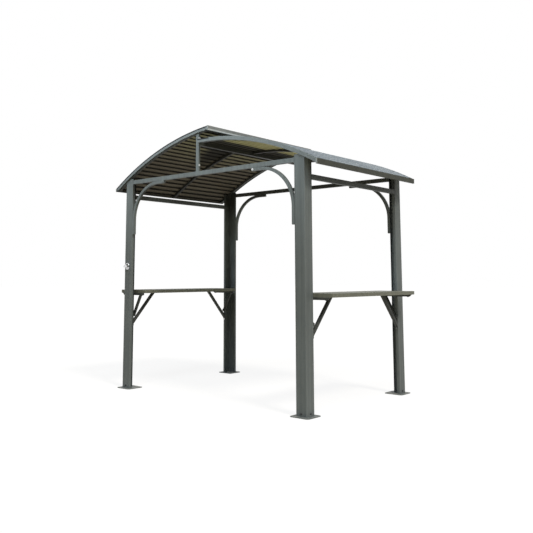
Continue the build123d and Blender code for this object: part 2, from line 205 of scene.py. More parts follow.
class GazeboHardware(bpy.types.PropertyGroup):
    """Sizes and places of the tubes, strips and fasteners."""

    bolt_flat: length_property("Bolt half flat", "Half the width across a bolt head's flats", 0.0065)
    bolt_head: length_property("Bolt head", "Height of a bolt's head", 0.0053)
    washer_radius: length_property("Washer radius", "Radius of a bolt's washer", 0.0095)
    washer_thick: length_property("Washer thickness", "Thickness of a bolt's washer", 0.0016)
    button_radius: length_property("Button radius", "Radius of a button screw's head", 0.0078)
    button_head: length_property("Button height", "Height of a button screw's head", 0.0046)
    roof_flat: length_property("Roof screw half flat", "Half the width across a roof screw's flats", 0.0040)
    roof_head: length_property("Roof screw head", "Height of a roof screw's head", 0.0040)
    roof_washer: length_property("Roof washer radius", "Radius of a roof screw's sealing washer", 0.0080)
    roof_seal: length_property("Roof seal", "Thickness of a roof screw's sealing washer", 0.0024)
    roof_step: IntProperty(
        name="Valleys per screw", description="A roof screw sits in every so many valleys", default=2, min=1
    )
    plug_flange: length_property("Plug flange", "Thickness of a tube plug outside the tube", 0.0030)
    strip_thick: length_property("Verge strip thickness", "Sheet thickness of a verge strip", 0.0015)
    strip_return: length_property(
        "Verge strip return", "Width of the fold along a verge strip's foot", 0.0070
    )
    strip_clear: length_property(
        "Verge strip clearance", "Gap between a verge strip and its neighbours", 0.0005
    )
    cap_thick: length_property("Trim cap", "Thickness of a trim's end cap", 0.0030)
    opener_screw_rise: length_property(
        "Opener screw rise", "Opener screws over the opener's lower end", 0.0120
    )
    opener_screw_span: length_property("Opener screw span", "Between the two opener screws", 0.0250)
    foot_screw_rise: length_property("Foot screw rise", "Height of the foot screws over the plate", 0.0220)
    beam_bolt_offset: length_property("Beam bolt offset", "Beam bolts from the beam's middle line", 0.0095)
    brace_bolt_inset: length_property("Brace bolt inset", "Brace bolts from the brace's end", 0.0110)
    king_bolt_rise: length_property("King bolt rise", "Lower king post bolt over the tie beam", 0.0540)
    king_bolt_clear: length_property("King bolt clearance", "Upper king post bolt over the low tier", 0.0120)
    arm_bolt_inset: length_property("Arm bolt inset", "Shelf bolts from the arm's ends", 0.0370)
    strut_bolt_rise: length_property("Strut bolt rise", "Strut bolts over the strut's lower end", 0.0090)
    tube_side: length_property("Strut tube", "Width of the square tube of a shelf strut", 0.0240)
    tube_corner: length_property("Strut tube corner", "Corner radius of the tubes under the shelves", 0.0015)
    ear_length: length_property("Strut ear", "Length of the flat ear below a strut's foot", 0.0170)
    ear_thick: length_property("Strut ear thickness", "Thickness of a strut's flat ear", 0.0040)
    arm_bevel: length_property("Arm bevel", "Slanted cut at the outer end of a shelf arm", 0.0220)
    short_drop: length_property("Short strut drop", "Short strut's foot below that of its solid", 0.0120)


class GazeboStage(bpy.types.PropertyGroup):
    """Camera, light and floor."""

    camera_place: spot_property("Camera place", "Where the camera stands", (4.2114, -4.9708, 1.0399))
    camera_turn: angle_property("Camera turn", "Turn of the camera to the left of straight ahead", 41.4158)
    camera_rise: angle_property("Camera rise", "Tilt of the camera above level", 6.9908)
    lens: FloatProperty(
        name="Lens", description="Focal length on a 36 mm sensor", default=46.3858, unit="CAMERA", min=1
    )
    shift_x: FloatProperty(name="Shift X", description="Sideways framing shift", default=0.03794)
    shift_y: FloatProperty(name="Shift Y", description="Upright framing shift", default=-0.13872)
    key_turn: angle_property("Key turn", "Side that the key light comes from, right of the front", 75)
    key_rise: angle_property("Key rise", "Height of the key light above level", 50)
    key_strength: strength_property("Key strength", "Key light on a face square to it", 2.45)
    key_soft: angle_property("Key softness", "Angle that the key light fills", 12)
    key_colour: colour_property("Key colour", "Warm tone of the key light", (1.0, 0.930, 0.825))
    front_turn: angle_property("Front turn", "Side that the front light comes from, right of the front", 30)
    front_rise: angle_property("Front rise", "Height of the front light above level", 50)
    front_strength: strength_property("Front strength", "Front light on a face square to it", 1.10)
    front_soft: angle_property("Front softness", "Angle that the front light fills", 20)
    front_colour: colour_property("Front colour", "Cool tone of the front light", (0.95, 0.98, 1.0))
    panel_place: spot_property("Panel place", "Where the soft panel hangs", (0.0, -4.0, 3.6))
    panel_aim: spot_property("Panel aim", "Spot that the soft panel looks at", (0.0, -0.745, 2.35))
    panel_width: length_property("Panel width", "Width of the soft panel", 3.4)
    panel_height: length_property("Panel height", "Height of the soft panel", 0.4)
    panel_spread: angle_property("Panel spread", "Angle of the soft panel's beam", 34)
    panel_power: strength_property("Panel power", "Power of the soft panel in watts", 14)
    panel_colour: colour_property("Panel colour", "Cool tone of the soft panel", (0.86, 0.95, 1.0))
    sky_strength: strength_property("Sky strength", "Soft light from all round", 0.32)
    sky_colour: colour_property("Sky colour", "Tone of the light from all round", (0.95, 0.98, 1.0))
    floor_bounce: colour_property("Floor bounce", "Tone that the floor gives back", (0.700, 0.655, 0.500))
    floor_glow: strength_property("Floor glow", "White of the floor inside a shadow", 0.87)
    floor_sheen: colour_property("Floor sheen", "Share of the light that the floor shows", (0.14, 0.14, 0.14))
    floor_half: length_property("Floor half width", "Half the floor's width", 60.0)
    floor_drop: length_property("Floor drop", "Floor below the anchor plates", 0.0005)


def finishes():
    """The scene's colours."""
    return bpy.context.scene.gazebo_finishes


def hardware():
    """The scene's sizes of tubes, strips and fasteners."""
    return bpy.context.scene.gazebo_hardware


class Tone:
    """One output of a shader node. Arithmetic on it adds Math nodes to the same tree."""

    def __init__(self, tree, output):
        self.tree = tree
        self.output = output

    def node(self, kind, settings=None, sockets=None, result=None):
        """Add a node: its settings first, then the values or links of its sockets, by identifier."""
        made = self.tree.nodes.new(kind)
        for name, value in (settings or {}).items():
            setattr(made, name, value)
        inputs = {socket.identifier: socket for socket in made.inputs}
        for name, value in (sockets or {}).items():
            if isinstance(value, Tone):
                self.tree.links.new(value.output, inputs[name])
            else:
                inputs[name].default_value = value
        outputs = {socket.identifier: socket for socket in made.outputs}
        first = next(iter(outputs.values()), None)
        return Tone(self.tree, outputs[result] if result else first)

    def math(self, operation, first, second):
        """Add one Math node."""
        return self.node("ShaderNodeMath", {"operation": operation}, {"Value": first, "Value_001": second})

    def __add__(self, other):
        return self.math("ADD", self, other)

    __radd__ = __add__

    def __sub__(self, other):
        return self.math("SUBTRACT", self, other)

    def __rsub__(self, other):
        return self.math("SUBTRACT", other, self)

    def __mul__(self, other):
        return self.math("MULTIPLY", self, other)

    __rmul__ = __mul__


def start_material(name):
    """New empty material and the object coordinates that its textures follow."""
    material = bpy.data.materials.new(name)
    material.use_nodes = True
    tree = material.node_tree
    tree.nodes.clear()
    return material, Tone(tree, tree.nodes.new("ShaderNodeTexCoord").outputs["Object"])


def opaque(colour):
    """Colour with a full alpha."""
    return (*colour, 1.0)


def shade(colour, share):
    """The same colour at a share of its brightness."""
    return [share * part for part in colour]


def noise(place, waves, detail=3.0, rough=0.5):
    """Soft random pattern with about that many waves a metre."""
    sockets = {"Vector": place, "Scale": waves, "Detail": detail, "Roughness": rough}
    return place.node("ShaderNodeTexNoise", None, sockets)


def stretched(place, x, y, z):
    """Coordinates scaled by axis, to draw a pattern out into streaks."""
    sockets = {"Vector": place, "Vector_001": (x, y, z)}
    return place.node("ShaderNodeVectorMath", {"operation": "MULTIPLY"}, sockets)


def ease(value, low, high):
    """Smooth step from 0 at low to 1 at high."""
    sockets = {"Value": value, "From Min": low, "From Max": high}
    return value.node("ShaderNodeMapRange", {"interpolation_type": "SMOOTHSTEP"}, sockets)


def larger(first, second):
    """The larger of two values."""
    return first.math("MAXIMUM", first, second)


def varied(base, pattern, by):
    """A value that a pattern lifts by up to an amount."""
    return base + by * pattern


def weighted(first, second, share):
    """Mean of two patterns, of which the first has a share."""
    return share * first + (1 - share) * second


def distance(vector, spot):
    """Distance of a place from a fixed spot."""
    sockets = {"Vector": vector, "Vector_001": spot}
    return vector.node("ShaderNodeVectorMath", {"operation": "DISTANCE"}, sockets, "Value")


def blend(factor, first, second):
    """Mix of two colours."""
    sockets = {"Factor_Float": factor, "A_Color": first, "B_Color": second}
    return factor.node("ShaderNodeMix", {"data_type": "RGBA"}, sockets, "Result_Color")


def axis_of(vector, axis):
    """One component of a vector."""
    return vector.node("ShaderNodeSeparateXYZ", None, {"Vector": vector}, axis)


def facing(place, axis):
    """How far a face looks along an axis, from -1 to 1."""
    return axis_of(place.node("ShaderNodeNewGeometry", None, None, "Normal"), axis)


def crevice(place, reach):
    """How open a spot is to its surroundings within a short reach, from 0 to 1."""
    settings = {"samples": 8, "only_local": True}
    return place.node("ShaderNodeAmbientOcclusion", settings, {"Distance": reach}, "AO")


def close_material(place, sockets, height, depth):
    """Join the surface's sockets and its fine relief to the material's output."""
    relief = place.node("ShaderNodeBump", None, {"Height": height, "Strength": 1.0, "Distance": depth})
    shader = place.node("ShaderNodeBsdfPrincipled", None, {**sockets, "Normal": relief})
    place.node("ShaderNodeOutputMaterial", None, {"Surface": shader})


# Painted shade under the roof grows between these heights, and fades between these squared distances from the
# middle
PAINTED_SHADE_HEIGHTS = {"low": 1.78, "high": 2.02}
PAINTED_SHADE_DEPTHS = {"low": 0.42, "high": 0.50}
PAINTED_SHADE_SHARE = 0.80
DUST_SHARE = 0.45
PEEL_WAVES = 620
COAT_GLOSS = 0.15


def painted_roof_shade(place):
    """Painted shade under the roof, from 0 to 1: well inside, and on faces that look inward or down."""
    ahead = axis_of(place, "Y")
    within = 1 - ease(ahead * ahead, **PAINTED_SHADE_DEPTHS)
    inward_x = ease(-1 * (axis_of(place, "X") * facing(place, "X")), low=0.40, high=0.90)
    inward_y = ease(-1 * (ahead * facing(place, "Y")), low=0.20, high=0.60)
    below = ease(-1 * facing(place, "Z"), low=0.50, high=0.80)
    inner = larger(larger(larger(within, inward_x), inward_y), below)
    ragged = varied(axis_of(place, "Z"), noise(place, waves=3.0), by=0.25)
    return inner * ease(ragged, **PAINTED_SHADE_HEIGHTS)


def powder_coat(name, colour, dark, rough, dust=None):
    """Satin powder coat: orange peel, rain streaks, dust on the faces that look up and painted shade under
    the roof.
    """
    colours = finishes()
    material, place = start_material(name)
    drift = noise(place, waves=2.4)
    streaks = noise(stretched(place, x=42, y=42, z=0.9), waves=1.0, detail=4.0)
    patches = ease(noise(place, waves=9, detail=4.0), low=0.30, high=0.75)
    settled = ease(facing(place, "Z"), low=0.55, high=0.95) * patches
    tone = ease(weighted(drift, streaks, share=0.45), low=0.34, high=0.66)
    body = blend(tone, opaque(dark), opaque(colour))
    dusty = blend(DUST_SHARE * settled, body, opaque(dust or colours.dust_colour))
    # Painted shade: the coat turns near-black under the roof
    coat = blend(PAINTED_SHADE_SHARE * painted_roof_shade(place), dusty, opaque(colours.painted_shade_colour))
    top_varied = varied(varied(rough, drift, by=0.10), settled, by=0.16)
    sockets = {"Base Color": coat, "Roughness": top_varied, "Specular IOR Level": COAT_GLOSS}
    close_material(place, sockets, noise(place, waves=PEEL_WAVES, detail=1.5), depth=0.00012)
    return material


# Across the roof, from left to right: where painted shade turns the backing coat brown before its own olive,
# and where painted bounce light yellows it
SHADE_TO_OLIVE_X = {"low": -0.58, "high": 0.20}
BOUNCE_X = {"low": 0.04, "high": 0.18}
BOUNCE_LEAST = 0.55
# A dark patch under the high tier, in coordinates drawn out along X, and the painted shadow in the band
# beside the ridge
DARK_PATCH_HEART = (-0.14, -0.12, 0.0)
DARK_PATCH_REACH = {"low": 0.16, "high": 0.31}
DARK_PATCH_EDGE_X = {"low": -0.12, "high": -0.08}
RIDGE_SHADOW_LEFT_X = {"low": -0.10, "high": -0.07}
RIDGE_SHADOW_RIGHT_X = {"low": 0.08, "high": 0.16}
DARKENING_SHARE = 0.90
# Painted shade darkens the hollows this near to a rib, and less of it where painted bounce light yellows the
# coat
RIB_REACH = 0.040
BOUNCE_UNSHADED_SHARE = 0.70
# Squared distances from the middle between which painted shade darkens the top towards the verges
EDGE_SHADE_DEPTHS = {"low": 0.558, "high": 0.570}
EDGE_SHADE_SHARE = 0.85
# Where the verges turn from the high tier's edge, dark with painted shade, to the tone of the low tier's
# strips
LOW_TIER_X = {"low": 0.05, "high": 0.07}
BACKING_ROUGH = 0.62
TOP_SMOOTHER = 0.22
SHEET_GLOSS = 0.08


def backing_coat(place, colours, drift):
    """Under the sheets: olive, turned brown by painted shade towards the high tier's eave, with yellow
    patches of painted bounce light, painted shade against the ribs, a dark patch and a painted shadow beside
    the ridge.
    """
    across = axis_of(place, "X")
    # Painted shade: brown towards the high tier's eave, olive towards the ridge
    shift = ease(varied(across, drift, by=0.4), **SHADE_TO_OLIVE_X)
    plain = blend(shift, opaque(colours.under_painted_shade), opaque(colours.under_olive))
    # Painted bounce light: yellow patches under the low tier
    cloud = varied(BOUNCE_LEAST, noise(stretched(place, x=1.4, y=2.6, z=1.4), waves=1.7), by=0.45)
    painted_bounce = ease(varied(across, drift, by=0.10), **BOUNCE_X) * cloud
    coat = blend(painted_bounce, plain, opaque(colours.under_painted_bounce))
    # Darker in a patch round a spot under the high tier
    heart = distance(stretched(place, x=0.45, y=1.0, z=0.0), DARK_PATCH_HEART)
    patch = 1 - ease(varied(heart, drift, by=0.10), **DARK_PATCH_REACH)
    darkened = patch * (1 - ease(across, **DARK_PATCH_EDGE_X))
    # Painted shadow: a dark band beside the ridge
    ridge = ease(across, **RIDGE_SHADOW_LEFT_X) * (1 - ease(varied(across, drift, by=0.06), **RIDGE_SHADOW_RIGHT_X))
    # Painted shade: near black in the hollows beside the ribs
    pans = ease(crevice(place, RIB_REACH), low=0.84, high=0.97)
    unshaded = pans + BOUNCE_UNSHADED_SHARE * painted_bounce * (1 - pans)
    darkest_backing = opaque(shade(colours.under_painted_shade, share=0.07))
    return blend(unshaded * (1 - DARKENING_SHARE * larger(darkened, ridge)), darkest_backing, coat)


def roof_coat(colours):
    """Two-sided coil coat: chalked blue-grey above with painted shade along the verges, and a matt olive
    backing coat below with painted light and shade.
    """
    material, place = start_material("roof_coat")
    wash = noise(stretched(place, x=1.6, y=34, z=1.6), waves=1.0, detail=4.0)
    drift = noise(place, waves=1.9)
    chalked = ease(weighted(wash, drift, share=0.5), low=0.36, high=0.66)
    above = blend(chalked, opaque(colours.roof_colour), opaque(colours.roof_chalk))
    ahead = axis_of(place, "Y")
    # Painted shade: the top darkens in a thin band along each verge
    edge_shade = ease(ahead * ahead, **EDGE_SHADE_DEPTHS)
    top = blend(EDGE_SHADE_SHARE * edge_shade, above, opaque(colours.painted_verge_shade))
    upper = ease(facing(place, "Z"), low=-0.04, high=0.04)
    sides = blend(upper, backing_coat(place, colours, drift), top)
    # Painted shade: the high tier's verge faces are dark, the low tier's take the strip tone
    low_tier = ease(axis_of(place, "X"), **LOW_TIER_X)
    verge = blend(low_tier, opaque(colours.painted_verge_shade), opaque(colours.strip_colour))
    along = facing(place, "Y")
    coat = blend(ease(along * along, low=0.70, high=0.90), sides, verge)
    rough = varied(BACKING_ROUGH - TOP_SMOOTHER * upper, wash, by=0.10)
    sockets = {"Base Color": coat, "Roughness": rough, "Specular IOR Level": SHEET_GLOSS}
    close_material(place, sockets, noise(place, waves=900, detail=1.5), depth=0.00008)
    return material


# Heights between which the high tier's edge strip turns from the painted highlight along its fold to its coat
HIGHLIGHT_HEIGHTS = {"low": 2.327, "high": 2.336}
HIGHLIGHT_SHARE = 0.65
# The eave strips lie further from the middle than the edge strip does, by the distance squared
EAVE_DISTANCES = {"low": 0.30, "high": 0.60}
TRIM_ROUGH = 0.38


def trim_coat(colours):
    """Folded strips: dark olive-grey at the eaves with a painted highlight on the faces that look up, and
    pale grey with run marks and a painted highlight along the fold on the high tier's edge.
    """
    material, place = start_material("trim_coat")
    across = axis_of(place, "X")
    runs = noise(stretched(place, x=30, y=26, z=2.2), waves=1.0, detail=4.0)
    drift = noise(place, waves=3.1)
    mark = ease(weighted(runs, drift, share=0.5), low=0.34, high=0.68)
    edge = opaque(colours.edge_colour)
    # Painted highlight: a bright band along the top of the high tier's edge strip
    fold = 1 - ease(axis_of(place, "Z"), **HIGHLIGHT_HEIGHTS)
    plain = blend(mark, opaque(shade(colours.edge_colour, share=0.70)), edge)
    pale = blend(HIGHLIGHT_SHARE * fold, plain, opaque(colours.painted_fold_highlight))
    dark = blend(mark, opaque(shade(colours.eave_colour, share=0.70)), opaque(colours.eave_colour))
    # Painted highlight: the eave strips' faces that look up take the pale edge tone
    top_varied = blend(ease(facing(place, "Z"), low=0.20, high=0.60), dark, edge)
    coat = blend(ease(across * across, **EAVE_DISTANCES), pale, top_varied)
    rough = varied(TRIM_ROUGH, drift, by=0.12)
    sockets = {"Base Color": coat, "Roughness": rough, "Specular IOR Level": COAT_GLOSS}
    close_material(place, sockets, noise(place, waves=PEEL_WAVES, detail=1.5), depth=0.00010)
    return material


def bare_metal(name, colour, rough, spangle_waves):
    """Plated or polished metal with a faint spangle."""
    material, place = start_material(name)
    spangle = noise(place, waves=spangle_waves, detail=2.0)
    dull = opaque(shade(colour, share=0.82))
    tint = blend(ease(spangle, low=0.30, high=0.70), dull, opaque(colour))
    sockets = {"Base Color": tint, "Roughness": varied(rough, spangle, by=0.12), "Metallic": 1.0}
    close_material(place, sockets, spangle, depth=0.00004)
    return material


BLACK_DUST_SHARE = 0.16
BLACK_ROUGH = 0.46
BLACK_GLOSS = 0.35


def black_coat(colours):
    """Blackened steel and moulded plastic: fine grain with a little dust."""
    material, place = start_material("black_coat")
    grain = noise(place, waves=1400, detail=2.0)
    dust = ease(noise(place, waves=60), low=0.45, high=0.80)
    tint = blend(BLACK_DUST_SHARE * dust, opaque(colours.black_colour), opaque(colours.dust_colour))
    rough = varied(BLACK_ROUGH, dust, by=0.18)
    sockets = {"Base Color": tint, "Roughness": rough, "Specular IOR Level": BLACK_GLOSS}
    close_material(place, sockets, grain, depth=0.00006)
    return material


def zinc():
    """Zinc plate, made once."""
    made = bpy.data.materials.get("zinc_plate")
    return made or bare_metal("zinc_plate", finishes().zinc_colour, rough=0.26, spangle_waves=420)


def black():
    """Black coat, made once."""
    return bpy.data.materials.get("black_coat") or black_coat(finishes())


def charcoal():
    """The frame's powder coat, made once."""
    made = bpy.data.materials.get("frame_coat")
    return made or powder_coat("frame_coat", finishes().frame_colour, finishes().frame_dark, rough=0.40)


def coat_node(name, material):
    """Give one CAD node its finish."""
    mesh = frame["nodes"][name].data
    mesh.materials.clear()
    mesh.materials.append(material)


def dress(slot, material):
    """Give every CAD node of a material slot its finish."""
    nodes = [part["node"] for part in frame["record"]["subparts"] if part["material_slot"] == slot]
    if not nodes:
        raise ValueError(f"the packed model has no node in slot {slot}")
    for name in nodes:
        coat_node(name, material)


def surface(node):
    """A CAD node's faces, ready for rays."""
    mesh = frame["nodes"][node].data
    corners = [vertex.co for vertex in mesh.vertices]
    return BVHTree.FromPolygons(corners, [face.vertices for face in mesh.polygons])


def strike(node, start, heading):
    """Point of a CAD node's surface that lies ahead of a start, and the way that the surface faces."""
    spot, normal, _, _ = surface(node).ray_cast(Vector(start), Vector(heading))
    if spot is None:
        raise ValueError(f"nothing of {node} lies ahead of {tuple(start)}")
    return spot, normal


def outer(box, axis, side):
    """Face of a box on one side of an axis."""
    low, high = box
    return high[axis] if side > 0 else low[axis]


def beyond(box, axis, side):
    """Place outside a box on one side of an axis, twice as far from the gazebo's middle as its face."""
    return 2 * outer(box, axis, side)


def middle(box):
    """Centre of a box."""
    return (box[0] + box[1]) / 2


def seat(spot, outward):
    """Matrix that stands a fastener on a spot, with its axis along the outward direction."""
    turn = Vector(outward).to_track_quat("Z", "Y").to_matrix().to_4x4()
    return Matrix.Translation(spot) @ turn


def join_loops(mesh, loops):
    """Close a body through a row of loops of equal length, with a face at each end."""
    faces = [mesh.faces.new(loops[0][::-1]), mesh.faces.new(loops[-1])]
    for before, after in zip(loops, loops[1:]):
        for index in range(len(before)):
            follow = (index + 1) % len(before)
            faces.append(mesh.faces.new((before[index], before[follow], after[follow], after[index])))
    bmesh.ops.recalc_face_normals(mesh, faces=faces)
    return faces


def ring(height, half, corners=0, cut=2.0):
    """One ring of a head or plug: shares of its height and half width, corner count and rounding."""
    return height, half, corners, cut


WASHER_PROFILE = (ring(0, 1), ring(0.7, 1), ring(1, 0.95))
HEAD_PROFILE = (ring(0, 1, 6), ring(0.76, 1, 6), ring(0.94, 0.99), ring(1, 0.90))
BUTTON_PROFILE = (
    ring(0, 1), ring(0.28, 1), ring(0.66, 0.88), ring(0.92, 0.64),
    ring(1, 0.42), ring(1, 0.34, 6), ring(0.40, 0.33, 6),
)
PLUG_PROFILE = (
    ring(0, 1, 4, 1.30), ring(0.55, 1, 4, 1.30), ring(0.88, 0.88, 4, 1.28), ring(1, 0.55, 4, 1.26),
)


def sized(profile, height, half, base=0):
    """A profile's rings at their real size, over a base."""
    return [(base + height * rise, half * wide, corners, cut) for rise, wide, corners, cut in profile]


def stack_rings(mesh, place, rings):
    """Closed body through a stack of rings along a seat's axis."""
    loops = []
    for height, half, corners, cut in rings:
        loop = []
        for step in range(RING_SIDES):
            angle = math.tau * step / RING_SIDES
            radius = half
            if corners:
                sector = math.tau / corners
                radius = min(half / math.cos((angle + sector / 2) % sector - sector / 2), half * cut)
            spot = Vector((radius * math.cos(angle), radius * math.sin(angle), height))
            loop.append(mesh.verts.new(place @ spot))
        loops.append(loop)
    join_loops(mesh, loops)


def add_bolt(mesh, place, flat, head, washer, thick):
    """Hexagon head with a chamfered crown on a washer with a softened rim."""
    stack_rings(mesh, place, sized(WASHER_PROFILE, thick, washer) + sized(HEAD_PROFILE, head, flat, thick))


def add_frame_bolt(mesh, place):
    """Bolt of the size that joins the frame."""
    sizes = hardware()
    add_bolt(mesh, place, sizes.bolt_flat, sizes.bolt_head, sizes.washer_radius, sizes.washer_thick)


def add_roof_screw(mesh, place):
    """Screw with a sealing washer, of the size that holds the sheets."""
    sizes = hardware()
    add_bolt(mesh, place, sizes.roof_flat, sizes.roof_head, sizes.roof_washer, sizes.roof_seal)


def add_button(mesh, place):
    """Low domed screw head with a hexagon socket."""
    stack_rings(mesh, place, sized(BUTTON_PROFILE, hardware().button_head, hardware().button_radius))


def add_plug(mesh, place, half):
    """Square tube plug with rounded corners and a crowned face."""
    stack_rings(mesh, place, sized(PLUG_PROFILE, hardware().plug_flange, half))


def add_bar(mesh, outline, axis, start, depth):
    """Closed bar with rounded edges: an outline across and up, pushed along X (axis 0) or Y (axis 1)."""
    loops = []
    for along in (start, start + depth):
        spots = [(along, across, z) if axis == 0 else (across, along, z) for across, z in outline]
        loops.append([mesh.verts.new(spot) for spot in spots])
    edges = list(dict.fromkeys(edge for face in join_loops(mesh, loops) for edge in face.edges))
    corner = hardware().tube_corner
    bmesh.ops.bevel(mesh, geom=edges, offset=corner, segments=BEVEL_STEPS, profile=0.5, affect="EDGES")


def fit_piece(name, mesh, material):
    """Turn a finished mesh into a piece that rides on the gazebo."""
    data = bpy.data.meshes.new(name)
    mesh.to_mesh(data)
    mesh.free()
    data.materials.append(material)
    data.polygons.foreach_set("use_smooth", [True] * len(data.polygons))
    data.set_sharp_from_angle(angle=SHARP_EDGE)
    piece = bpy.data.objects.new(name, data)
    bpy.context.scene.collection.objects.link(piece)
    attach(piece, BODY)
    return piece


class GAZEBO_OT_paint_frame(bpy.types.Operator):
    """Paint posts, feet, beams, braces and rafters in charcoal powder coat, with painted shade under the roof
    and the middle rafters darker still as painted shade
    """

    bl_idname = "gazebo.paint_frame"
    bl_label = "Paint frame"

    def execute(self, context):
        dress("frame_paint", charcoal())
        colours = finishes()
        # Painted shade: the middle rafters take a much darker coat
        darkened = shade(colours.bracket_colour, share=0.50)
        coat = powder_coat("rafter_painted_shade", darkened, colours.painted_shade_colour, rough=0.44)
        for tier in TIERS:
            coat_node(tier + "_middle_rafter", coat)
        return {"FINISHED"}


def strut_slant(strut):
    """How far a long strut runs along Y, how far it falls, and its length."""
    low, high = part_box(strut)
    reach = high.y - low.y
    fall = high.z - low.z - hardware().ear_length
    return reach, fall, math.hypot(reach, fall)


def ear_low(strut):
    """Lower end of a long strut's flat ear, once the strut is drawn as a tube."""
    low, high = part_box(strut)
    reach, _, slant = strut_slant(strut)
    return low.z - (hardware().tube_side - (high.x - low.x)) * slant / reach


class GAZEBO_OT_fit_brackets(bpy.types.Operator):
    """Draw the arms and struts under the shelves as round-edged tubes in near-black powder coat"""

    bl_idname = "gazebo.fit_brackets"
    bl_label = "Fit shelf brackets"

    def execute(self, context):
        colour = finishes().bracket_colour
        coat = powder_coat("bracket_coat", colour, shade(colour, share=0.70), rough=0.44)
        for corner, (side_x, side_y) in CORNERS.items():
            self.fit_strut(corner, side_y, coat)
            self.fit_arm(corner, side_x, coat)
        return {"FINISHED"}

    def fit_strut(self, corner, side_y, coat):
        """Long strut: a tube from the post's lip to the shelf, with a flat ear on the lip."""
        sizes = hardware()
        strut = corner + "_shelf_strut"
        low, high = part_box(strut)
        reach, fall, slant = strut_slant(strut)
        bar = high.x - low.x
        more = sizes.tube_side - bar
        lip_y = outer((low, high), 1, side_y)
        foot_z = low.z + sizes.ear_length
        edge = [
            (0, foot_z - more * slant / reach), (reach + more * slant / fall, high.z),
            (reach - bar * slant / fall, high.z), (0, foot_z + bar * slant / reach),
        ]
        centre_x = (low.x + high.x) / 2
        half = sizes.tube_side / 2
        mesh = bmesh.new()
        add_bar(mesh, [(lip_y - side_y * run, z) for run, z in edge], 0, centre_x - half, sizes.tube_side)
        bottom = ear_low(strut) + half
        turns = [math.pi * step / EAR_STEPS for step in range(EAR_STEPS + 1)]
        ear = [(centre_x + half * math.cos(turn), bottom - half * math.sin(turn)) for turn in turns]
        ear += [(centre_x - half, foot_z), (centre_x + half, foot_z)]
        add_bar(mesh, ear, 1, lip_y, -side_y * sizes.ear_thick)
        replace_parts(fit_piece(corner + "_strut_tube", mesh, coat), strut)

    def fit_arm(self, corner, side_x, coat):
        """Cross arm with a slanted outer end, and the short strut from the post's lip to the arm."""
        sizes = hardware()
        bracket = corner + "_shelf_bracket"
        box = low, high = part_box(bracket)
        y = middle(box).y
        inner_x = outer(box, 0, -side_x)
        outer_x = outer(box, 0, side_x)
        arm_z = strike(bracket, (outer_x - side_x * sizes.arm_bolt_inset, y, 0), UP)[0].z
        bevel_x = outer_x - side_x * sizes.arm_bevel
        arm = [(inner_x, arm_z), (bevel_x, arm_z), (outer_x, high.z), (inner_x, high.z)]
        aside = beyond(box, 0, side_x)
        third = (arm_z - low.z) / 3
        upper_x = strike(bracket, (aside, y, arm_z - third), (-side_x, 0, 0))[0].x
        lower_x = strike(bracket, (aside, y, low.z + third), (-side_x, 0, 0))[0].x
        lean = (upper_x - lower_x) / third
        foot_z = low.z - sizes.short_drop
        head_x = upper_x + lean * third
        foot_x = head_x - lean * (arm_z - foot_z)
        width = side_x * sizes.tube_side * math.hypot(1, lean)
        strut = [(foot_x - width, foot_z), (foot_x, foot_z), (head_x, arm_z), (head_x - width, arm_z)]
        mesh = bmesh.new()
        for outline in (arm, strut):
            add_bar(mesh, outline, 1, low.y, high.y - low.y)
        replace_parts(fit_piece(corner + "_bracket_tubes", mesh, coat), bracket)


class GAZEBO_OT_coat_roof(bpy.types.Operator):
    """Coat the ribbed roof sheets, blue-grey above and olive below, with painted light and shade"""

    bl_idname = "gazebo.coat_roof"
    bl_label = "Coat roof"

    def execute(self, context):
        dress("roof_paint", roof_coat(finishes()))
        return {"FINISHED"}


class GAZEBO_OT_coat_trims(bpy.types.Operator):
    """Coat the eave strips and the high tier's edge strip"""

    bl_idname = "gazebo.coat_trims"
    bl_label = "Coat trims"

    def execute(self, context):
        dress("trim_paint", trim_coat(finishes()))
        return {"FINISHED"}


class GAZEBO_OT_coat_shelves(bpy.types.Operator):
    """Coat the two tray shelves"""

    bl_idname = "gazebo.coat_shelves"
    bl_label = "Coat shelves"

    def execute(self, context):
        colour = finishes().shelf_colour
        shaded = shade(colour, share=0.74)
        scuffed = shade(colour, share=1.30)
        dress("shelf_paint", powder_coat("shelf_coat", colour, shaded, rough=0.38, dust=scuffed))
        return {"FINISHED"}


class GAZEBO_OT_polish_opener(bpy.types.Operator):
    """Polish the opener and fix it with two screws"""

    bl_idname = "gazebo.polish_opener"
    bl_label = "Polish opener"

    def execute(self, context):
        chrome = bare_metal("opener_chrome", finishes().chrome_colour, rough=0.10, spangle_waves=260)
        dress("chrome", chrome)
        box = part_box("bottle_opener")
        height = box[0].z + hardware().opener_screw_rise
        half = hardware().opener_screw_span / 2
        mesh = bmesh.new()
        for shift in (-half, half):
            start = Vector((middle(box).x + shift, beyond(box, 1, -1), height))
            add_button(mesh, seat(*strike("bottle_opener", start, (0, 1, 0))))
        fit_piece("opener_screws", mesh, zinc())
        return {"FINISHED"}


class GAZEBO_OT_fit_foot_screws(bpy.types.Operator):
    """Screw each post's legs to the cleat of its foot"""

    bl_idname = "gazebo.fit_foot_screws"
    bl_label = "Fit foot screws"

    def execute(self, context):
        for corner, (side_x, side_y) in CORNERS.items():
            post = corner + "_post"
            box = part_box(post)
            centre = middle(box)
            height = box[0].z + hardware().foot_screw_rise
            mesh = bmesh.new()
            ahead = Vector((centre.x, beyond(box, 1, side_y), height))
            aside = Vector((beyond(box, 0, side_x), centre.y, height))
            add_button(mesh, seat(*strike(post, ahead, (0, -side_y, 0))))
            add_button(mesh, seat(*strike(post, aside, (-side_x, 0, 0))))
            fit_piece(corner + "_foot_screws", mesh, black())
        return {"FINISHED"}


